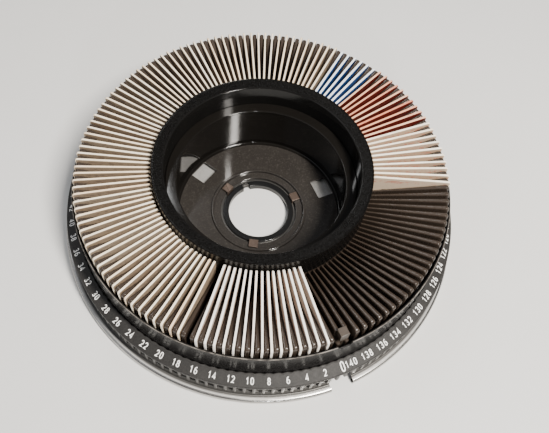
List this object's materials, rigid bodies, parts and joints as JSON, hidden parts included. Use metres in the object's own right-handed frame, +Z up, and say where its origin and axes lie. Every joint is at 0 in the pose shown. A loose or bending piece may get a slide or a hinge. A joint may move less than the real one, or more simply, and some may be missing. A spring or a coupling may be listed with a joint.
{
  "type": "rotary slide tray",
  "caption": "Round slide tray for a projector: numbered slots filled with mounted slides round an open hub, turning on a steel plate with a drop gate.",
  "frame": {"origin": "centre of the spindle bore at the underside of the steel base plate", "axes": "+Z up along the spindle axis, zero position and drop gate facing -Y, slots numbered clockwise seen from above"},
  "size_m": [0.2708, 0.2706, 0.0643],
  "materials": {
    "plated_steel": "bright plated sheet steel",
    "bush_black": "black, glossy",
    "clip_bronze": "dull bronze plating",
    "zinc_steel": "zinc plated",
    "rivet_steel": "satin",
    "spring_steel": "drawn wire",
    "smoky_gloss": "smoky black, glossy",
    "textured_black": "black, fine moulded grain",
    "rib_black": "black, semi-gloss",
    "gloss_black": "black, glossy",
    "matte_grey": "dark grey, matte grain with white numbers",
    "block_brown": "brownish grey, satin",
    "white_mount": "white plastic",
    "cream_mount": "cream card",
    "blue_mount": "blue card, white edge",
    "red_mount": "red card, cream edge",
    "pale_mount": "pale card",
    "film": "dark transparency"
  },
  "bodies": {
    "base": {"base_plate": "plated_steel", "rim_bead": "plated_steel", "spindle_bush": "bush_black", "plate_clips": "clip_bronze", "latch_guide": "zinc_steel", "latch_rivets": "rivet_steel", "latch_spring": "spring_steel"},
    "latch": {"plate_latch": "zinc_steel"},
    "tray": {"centre_collar": "smoky_gloss", "hub_floor": "smoky_gloss", "hub_well": "smoky_gloss", "hub_rim": "textured_black", "slot_comb": "rib_black", "outer_wall": "gloss_black", "number_band": "matte_grey", "index_gear": "gloss_black", "zero_block": "block_brown", "white_slides_mounts": "white_mount", "white_slides_films": "film", "cream_slides_mounts": "cream_mount", "cream_slides_films": "film", "blue_slides_mounts": "blue_mount", "blue_slides_films": "film", "red_slides_mounts": "red_mount", "red_slides_films": "film", "pale_slides_mounts": "pale_mount", "pale_slides_films": "film"},
    "slide_002": {"slide_002_mount": "white_mount", "slide_002_film": "film"},
    "slide_009": {"slide_009_mount": "white_mount", "slide_009_film": "film"},
    "slide_016": {"slide_016_mount": "white_mount", "slide_016_film": "film"},
    "slide_018": {"slide_018_mount": "cream_mount", "slide_018_film": "film"},
    "slide_042": {"slide_042_mount": "cream_mount", "slide_042_film": "film"},
    "slide_066": {"slide_066_mount": "cream_mount", "slide_066_film": "film"},
    "slide_090": {"slide_090_mount": "cream_mount", "slide_090_film": "film"},
    "slide_094": {"slide_094_mount": "blue_mount", "slide_094_film": "film"},
    "slide_101": {"slide_101_mount": "red_mount", "slide_101_film": "film"},
    "slide_107": {"slide_107_mount": "pale_mount", "slide_107_film": "film"},
    "slide_112": {"slide_112_mount": "pale_mount", "slide_112_film": "film"},
    "slide_116": {"slide_116_mount": "pale_mount", "slide_116_film": "film"}
  },
  "joints": [
    {"name": "latch_slide", "type": "slide", "parent": "base", "child": "latch", "axis": [0, 1, 0], "range_m": [0, 0.0025], "stiffness_N_per_m": 120, "deforming": ["latch_spring"]},
    {"name": "tray_spin", "type": "hinge", "parent": "base", "child": "tray", "pos_m": [0, 0, 0], "axis": [0, 0, 1], "continuous": true},
    {"name": "lift_002", "type": "slide", "parent": "tray", "child": "slide_002", "axis": [0, 0, 1], "range_m": [0, 0.055]},
    {"name": "lift_009", "type": "slide", "parent": "tray", "child": "slide_009", "axis": [0, 0, 1], "range_m": [0, 0.055]},
    {"name": "lift_016", "type": "slide", "parent": "tray", "child": "slide_016", "axis": [0, 0, 1], "range_m": [0, 0.055]},
    {"name": "lift_018", "type": "slide", "parent": "tray", "child": "slide_018", "axis": [0, 0, 1], "range_m": [0, 0.055]},
    {"name": "lift_042", "type": "slide", "parent": "tray", "child": "slide_042", "axis": [0, 0, 1], "range_m": [0, 0.055]},
    {"name": "lift_066", "type": "slide", "parent": "tray", "child": "slide_066", "axis": [0, 0, 1], "range_m": [0, 0.055]},
    {"name": "lift_090", "type": "slide", "parent": "tray", "child": "slide_090", "axis": [0, 0, 1], "range_m": [0, 0.055]},
    {"name": "lift_094", "type": "slide", "parent": "tray", "child": "slide_094", "axis": [0, 0, 1], "range_m": [0, 0.055]},
    {"name": "lift_101", "type": "slide", "parent": "tray", "child": "slide_101", "axis": [0, 0, 1], "range_m": [0, 0.055]},
    {"name": "lift_107", "type": "slide", "parent": "tray", "child": "slide_107", "axis": [0, 0, 1], "range_m": [0, 0.055]},
    {"name": "lift_112", "type": "slide", "parent": "tray", "child": "slide_112", "axis": [0, 0, 1], "range_m": [0, 0.055]},
    {"name": "lift_116", "type": "slide", "parent": "tray", "child": "slide_116", "axis": [0, 0, 1], "range_m": [0, 0.055]}
  ]
}
